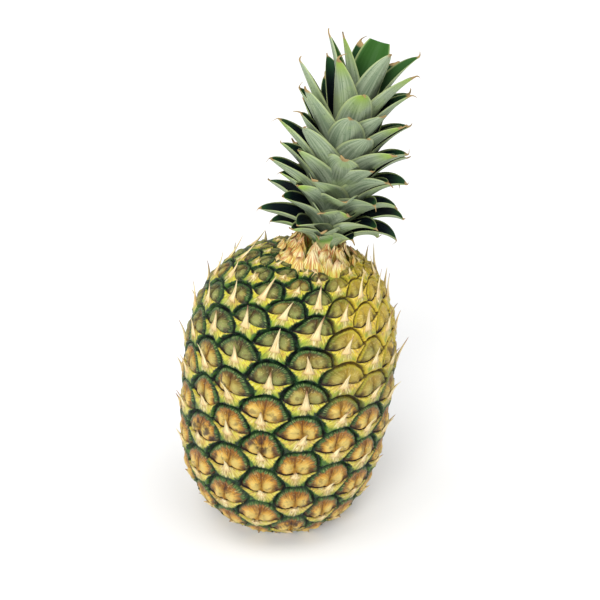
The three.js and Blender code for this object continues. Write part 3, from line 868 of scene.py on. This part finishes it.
def eye_tint(tree, see, hue):
    """Two pale lobes in golden or green flesh, streaked and spotted, with painted highlights on the lobes'
    tops and painted shade in the lower corners.
    """
    far = maths(tree, "SQRT", maths(tree, "ADD",
                maths(tree, "POWER", both(tree, maths(tree, "SUBTRACT", see.aside, 0.2), 4.6), 2.0),
                maths(tree, "POWER", both(tree, maths(tree, "SUBTRACT", see.along, 0.10), 2.2), 2.0)))
    lobe = rising(tree, maths(tree, "ADD", far, both(tree, see.rays, 0.6)), 1.65, 0.85)
    warm = maths(tree, "ADD", see.ripe, both(tree, maths(tree, "SUBTRACT", see.patches, 0.5), 1.2))
    golden = blend(tree, rising(tree, warm, -0.1, 0.5), hue["unripe lobe"], hue["ripe lobe"])
    golden = stain(tree, golden, hue["low lobe"], 0.6, warm, 0.7, 1.3)
    # Painted highlight: the lobes are made paler towards the tops of their domes
    painted_lobe_highlight = blend(tree, rising(tree, warm, 0.0, 0.5), hue["unripe heart"], hue["ripe heart"])
    golden = stain(tree, golden, painted_lobe_highlight, 0.8, far, 1.0, 0.3)
    flesh = blend(tree, rising(tree, warm, -0.1, 0.6), hue["unripe flesh"], hue["ripe flesh"])
    inside = blend(tree, lobe, flesh, golden)
    streaky = maths(tree, "SUBTRACT", 0.5, both(tree, lobe, 0.42))
    inside = stain(tree, inside, hue["dark ray"], streaky, see.rays, 0.5, 0.62)
    inside = stain(tree, inside, hue["dark hair"], both(tree, streaky, 0.6), see.hairs, 0.54, 0.66)
    inside = stain(tree, inside, hue["pale hair"], 0.4, see.hairs, 0.45, 0.34)
    inside = stain(tree, inside, hue["fleck"], 0.6, see.fleck, 0.6, 0.72)
    inside = stain(tree, inside, hue["brown spot"], 0.45, see.mottle, 0.54, 0.64)
    crack = both(tree, rising(tree, see.aside, 0.03, 0.01), rising(tree, see.along, -0.1, 0.2))
    inside = blend(tree, both(tree, crack, 0.55), inside, hue["crack"])
    inside = blend(tree, both(tree, see.yellow, 0.65), inside, hue["yellow eye"])
    inside = stain(tree, inside, hue["yellow ray"], both(tree, see.yellow, 0.5), see.rays, 0.46, 0.36)
    # Painted shade: the eye's lower outer corners, by the rim, are darkened
    corner = both(tree, rising(tree, maths(tree, "ADD", see.aside, both(tree, see.mottle, 0.3)), 0.42, 0.62),
                  rising(tree, see.along, 0.35, -0.1))
    inside = blend(tree, both(tree, corner, 0.8), inside, hue["painted corner shade"])
    bruise = both(tree, rising(tree, maths(tree, "ADD", see.patches, both(tree, see.lot, 0.2)), 0.66, 0.76),
                  rising(tree, see.mottle, 0.4, 0.6))
    inside = blend(tree, both(tree, bruise, 0.8), inside, hue["bruise"])
    return inside


def rimmed(tree, see, hue, inside):
    """The green rim with fine pale teeth round its outside, and the shade under the dome's lip."""
    rim_green = blend(tree, rising(tree, see.rays, 0.35, 0.65), hue["deep rim"], hue["light rim"])
    wave = maths(tree, "COSINE", maths(tree, "ADD", both(tree, see.turn, 46.0), both(tree, see.rays, 16.0)))
    ticks = both(tree, rising(tree, wave, 0.0, 0.9),
                 both(tree, rising(tree, see.rho, 0.75, 0.81), rising(tree, see.rho, 0.89, 0.86)))
    ticks = both(tree, ticks, rising(tree, see.mottle, 0.35, 0.6))
    rim = blend(tree, both(tree, ticks, 0.65), rim_green, hue["rim tooth"])
    rim = blend(tree, both(tree, see.yellow, 0.85), rim, hue["yellow rim"])
    rim_edge = maths(tree, "ADD", see.rho, both(tree, maths(tree, "SUBTRACT", see.rays, 0.5), 0.25))
    rim_edge = maths(tree, "SUBTRACT", rim_edge, both(tree, see.ripe, 0.07))
    rim_share = both(tree, rising(tree, rim_edge, 0.68, 0.8), rising(tree, see.over_lip, 0.05, 0.3))
    inside = blend(tree, rim_share, inside, rim)
    crease = rising(tree, see.over_lip, 0.09, 0.0)
    inside = blend(tree, crease, inside, hue["lip shade"])
    return inside


def bract_tint(tree, see, hue):
    """The bract across the eye's lower half, paler along its middle and greener towards its ends."""
    wing = rising(tree, maths(tree, "ADD", see.aside, both(tree, see.fibres, 0.24)), 0.14, 0.36)
    cream = blend(tree, see.ripe, hue["unripe cream"], hue["ripe cream"])
    edge = blend(tree, see.ripe, hue["unripe wing"], hue["ripe wing"])
    edge = blend(tree, see.yellow, edge, hue["yellow wing"])
    sheet = blend(tree, wing, cream, edge)
    warm_spot = both(tree, rising(tree, see.patches, 0.5, 0.6), rising(tree, see.mottle, 0.4, 0.6))
    sheet = blend(tree, both(tree, warm_spot, 0.55), sheet, hue["warm spot"])
    sheet = stain(tree, sheet, hue["tan fibre"], 0.6, see.fibres, 0.5, 0.6)
    sheet = stain(tree, sheet, hue["brown fibre"], 0.6, see.fibres, 0.63, 0.72)
    pale = maths(tree, "SUBTRACT", 0.85, both(tree, wing, 0.6))
    sheet = stain(tree, sheet, hue["pale fibre"], pale, see.fibres, 0.44, 0.34)
    inner_share = maths(tree, "SUBTRACT", 0.75, both(tree, wing, 0.55))
    sheet = stain(tree, sheet, hue["tan thread"], inner_share, see.threads, 0.52, 0.62)
    sheet = stain(tree, sheet, hue["pale thread"], 0.4, see.threads, 0.48, 0.38)
    frayed = both(tree, maths(tree, "SUBTRACT", see.fibres, 0.5), 0.5)
    below_lip = maths(tree, "SUBTRACT", both(tree, frayed, 0.6), see.over_lip)
    greening = both(tree, maths(tree, "ADD", 0.35, both(tree, wing, 0.65)), 0.8)
    sheet = stain(tree, sheet, hue["green edge"], greening, below_lip, 0.12, 0.5)
    low_green = blend(tree, rising(tree, see.mottle, 0.4, 0.62), hue["deep fringe"], hue["light fringe"])
    low_green = blend(tree, both(tree, see.yellow, 0.85), low_green, hue["yellow fringe"])
    fringe = rising(tree, maths(tree, "ADD", see.rho, frayed), 0.72, 0.88)
    below = both(tree, rising(tree, maths(tree, "ADD", see.over_foot, frayed), 0.02, -0.12),
                 rising(tree, see.ripe, 0.1, 0.6))
    outside = maths(tree, "MAXIMUM", fringe, below)
    sheet = blend(tree, outside, sheet, low_green)
    return sheet


def grooved(tree, see, hue, tint):
    """Dark grooves between the eyes."""
    ragged = both(tree, maths(tree, "SUBTRACT", see.rays, 0.5), 0.12)
    worn = maths(tree, "ADD", both(tree, see.mottle, 0.05), ragged)
    thin = maths(tree, "SUBTRACT", worn, both(tree, see.ripe, 0.03))
    upper_groove = rising(tree, maths(tree, "ADD", see.rho, thin), 0.88, 0.93)
    lower_groove = rising(tree, maths(tree, "ADD", see.rho, worn), 0.96, 1.01)
    dark = blend(tree, rising(tree, see.mottle, 0.42, 0.62), hue["deep groove"], hue["light groove"])
    dark = blend(tree, both(tree, see.yellow, 0.8), dark, hue["yellow groove"])
    groove = add_node(tree, "Mix", {0: see.above, 2: lower_groove, 3: upper_groove}).outputs[0]
    tint = blend(tree, groove, tint, dark)
    return tint


def scarred(tree, see, hue, tint):
    """The cut stalk in the middle of the foot."""
    reach = maths(tree, "SQRT", maths(tree, "ADD", both(tree, see.x, see.x), both(tree, see.y, see.y)))
    scar = both(tree, rising(tree, reach, 0.0145, 0.0135), rising(tree, see.z, 0.002, 0.001))
    rings = grain(tree, vector_of(tree, both(tree, reach, 900.0), 0.0, 0.0), 1.0, 2.0)
    wood = blend(tree, rings, hue["dark wood"], hue["light wood"])
    tint = blend(tree, scar, tint, wood)
    return tint


def skin_material():
    """Green rims round golden eyes, with the cream and yellow-green bracts across their lower halves."""
    material, tree, shader = new_material("fruit_skin", 0.42)
    hue = palette(SKIN_COLOURS)
    see = skin_values(tree)
    inside = rimmed(tree, see, hue, eye_tint(tree, see, hue))
    tint = blend(tree, rising(tree, see.above, 0.45, 0.55), bract_tint(tree, see, hue), inside)
    tint = scarred(tree, see, hue, grooved(tree, see, hue, tint))
    lines = maths(tree, "ADD", both(tree, maths(tree, "ADD", see.rays, see.hairs), see.above), see.threads)
    relief = maths(tree, "ADD", lines, maths(tree, "ADD", see.fibres, both(tree, see.mottle, 0.7)))
    surface(tree, shader, tint, relief, 0.8, 0.0016)
    return material


def spine_material():
    material, tree, shader = new_material("spine", 0.6)
    hue = palette(SPINE_COLOURS)
    cross, along, lot = parts_of(tree, attribute(tree, "spine"))
    place = vector_of(tree, both(tree, cross, 3.0), both(tree, along, 1.2), both(tree, lot, 40.0))
    threads = grain(tree, place, 1.6)
    tint = blend(tree, rising(tree, threads, 0.4, 0.62), hue["cream"], hue["tan"])
    tint = blend(tree, rising(tree, along, 0.3, 0.0), tint, hue["root"])
    brown = both(tree, rising(tree, maths(tree, "ADD", along, both(tree, lot, 0.6)), 1.1, 1.45), 0.85)
    tint = blend(tree, brown, tint, hue["dry tip"])
    surface(tree, shader, tint, threads, 0.5, 0.0008)
    return material


def leaf_material():
    """Pale waxy outer faces with fine streaks and painted shade at their feet, inner faces of darker green
    painted near black with shade, and dried tips.
    """
    material, tree, shader = new_material("crown_leaf", 0.5)
    shader.inputs["Specular IOR Level"].default_value = 0.12
    hue = palette(LEAF_COLOURS)
    across, share, inside = parts_of(tree, attribute(tree, "leaf"))
    lot, age = parts_of(tree, attribute(tree, "leaf_lots"))[:2]
    place = add_node(tree, "TexCoord").outputs["Object"]
    seed = both(tree, lot, 60.0)
    streaks = grain(tree, vector_of(tree, both(tree, across, 9.0), both(tree, share, 1.5), seed), 1.4, 5.0)
    clouds = grain(tree, place, 70.0, 3.0)
    specks = grain(tree, place, 1100.0, 1.0)
    outer = blend(tree, rising(tree, streaks, 0.3, 0.7), hue["grey green"], hue["pale streak"])
    outer = stain(tree, outer, hue["fresh cloud"], 0.5, clouds, 0.45, 0.7)
    outer = stain(tree, outer, hue["speck"], 0.5, specks, 0.64, 0.72)
    # Painted shade: the outer faces darken towards the leaf's foot, where the leaves crowd together
    outer = blend(tree, rising(tree, share, 0.3, 0.0), outer, hue["base"])
    lowest = rising(tree, age, 0.06, 0.02)
    outer = blend(tree, both(tree, lowest, rising(tree, share, 0.85, 0.4)), outer, hue["lowest leaves"])
    outer = blend(tree, both(tree, lowest, rising(tree, share, 0.5, 0.1)), outer, hue["lowest feet"])
    fresh = both(tree, rising(tree, share, 0.72, 0.95), rising(tree, lot, 0.3, 0.9))
    outer = blend(tree, fresh, outer, hue["fresh end"])
    # Painted shade: the inner faces are darkened nearly to black, lighter green towards the tip
    inner = blend(tree, rising(tree, streaks, 0.3, 0.7), hue["inner face"], hue["inner streak"])
    inner = blend(tree, rising(tree, share, 0.7, 1.1), inner, hue["inner end"])
    youngest = both(tree, rising(tree, age, 0.9, 0.98), rising(tree, share, 0.35, 0.85))
    inner = blend(tree, both(tree, youngest, 0.75), inner, hue["youngest inner face"])
    margin = rising(tree, maths(tree, "ABSOLUTE", across), 0.86, 0.97)
    tint = blend(tree, inside, outer, inner)
    tint = blend(tree, both(tree, margin, 0.6), tint, hue["margin"])
    uneven = both(tree, maths(tree, "SUBTRACT", clouds, 0.5), 0.14)
    dry = rising(tree, maths(tree, "ADD", share, uneven), 0.915, 0.95)
    tint = blend(tree, dry, tint, blend(tree, streaks, hue["dry brown"], hue["dry tan"]))
    surface(tree, shader, tint, streaks, 0.35, 0.0008)
    return material


def bract_material():
    """Dry paper, cream and golden with reddish fibres."""
    material, tree, shader = new_material("dry_bract", 0.65)
    hue = palette(PAPER_COLOURS)
    across, share = parts_of(tree, attribute(tree, "leaf"))[:2]
    lot, tier = parts_of(tree, attribute(tree, "leaf_lots"))[:2]
    place = add_node(tree, "TexCoord").outputs["Object"]
    seed = both(tree, lot, 50.0)
    threads = grain(tree, vector_of(tree, both(tree, across, 6.0), both(tree, share, 1.5), seed), 1.6, 5.0)
    clouds = grain(tree, place, 120.0, 3.0)
    tint = blend(tree, rising(tree, clouds, 0.4, 0.6), hue["cream"], hue["golden"])
    tint = stain(tree, tint, hue["green foot"], 0.8, share, 0.7, 0.35)
    red = maths(tree, "ADD", 0.6, both(tree, tier, 0.35))
    tint = stain(tree, tint, hue["red fibre"], red, threads, 0.49, 0.57)
    tint = stain(tree, tint, hue["brown fibre"], 0.7, threads, 0.64, 0.72)
    tint = stain(tree, tint, hue["pale fibre"], 0.6, threads, 0.47, 0.37)
    dry = both(tree, rising(tree, maths(tree, "ADD", share, both(tree, clouds, 0.4)), 0.9, 1.2),
               rising(tree, lot, 0.4, 0.7))
    tint = blend(tree, both(tree, dry, 0.8), tint, hue["dry end"])
    surface(tree, shader, tint, threads, 0.7, 0.001)
    return material


# Stage, light and camera

def build_stage():
    """A pale floor, a white sky, soft lights from above on the left and right, and one from the front."""
    bpy.ops.mesh.primitive_plane_add(size=FLOOR_SIZE)
    floor = bpy.context.object
    floor.name = "floor"
    material, _, shader = new_material("floor", 0.9)
    shader.inputs["Base Color"].default_value = (FLOOR_GREY, FLOOR_GREY, FLOOR_GREY, 1)
    shader.inputs["Emission Color"].default_value = (1, 1, 1, 1)
    shader.inputs["Emission Strength"].default_value = FLOOR_GLOW
    floor.data.materials.append(material)
    world = bpy.data.worlds.new("studio")
    bpy.context.scene.world = world
    world.use_nodes = True
    world.node_tree.nodes["Background"].inputs[0].default_value = (1, 1, 1, 1)
    world.node_tree.nodes["Background"].inputs[1].default_value = SKY
    bpy.context.scene.view_settings.view_transform = "Standard"
    for name, aim, softness, strength in LIGHTS:
        light = bpy.data.lights.new(name, "SUN")
        light.angle = math.radians(softness)
        light.energy = strength
        lamp = bpy.data.objects.new(name, light)
        lamp.rotation_euler = Vector(aim).to_track_quat("-Z", "Y").to_euler()
        bpy.context.scene.collection.objects.link(lamp)


def build_camera():
    camera = bpy.data.cameras.new("camera")
    camera.lens = CAMERA_LENS
    holder = bpy.data.objects.new("camera", camera)
    bpy.context.scene.collection.objects.link(holder)
    middle = placed(np.zeros(3), FRUIT_PLACE)
    away = np.array([CAMERA_SIDE, -CAMERA_DISTANCE * math.cos(CAMERA_HEIGHT_ANGLE),
                     CAMERA_DISTANCE * math.sin(CAMERA_HEIGHT_ANGLE)])
    holder.location = (middle + away) * MM
    holder.rotation_euler = (math.pi / 2 - CAMERA_PITCH, 0, 0)
    bpy.context.scene.camera = holder


build_camera()
build_stage()
crown_shapes = [leaf_shape(index) for index in range(LEAVES)]
skin = build_skin(skin_material())
spines = build_spines(spine_material())
papers = build_blades("neck_papers", neck_bract_shapes(), neck_place(), bract_material())
leaves = build_blades("crown_leaves", crown_shapes, crown_place(), leaf_material())
pieces = (
    (skin, "fruit", "fruit_skin"),
    (spines, "fruit", "dry_bract"),
    (papers, "neck_bracts", "dry_bract"),
    (leaves, "crown", "crown_leaf"),
)
for piece, node, slot in pieces:
    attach(piece, "root")
    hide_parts(node)
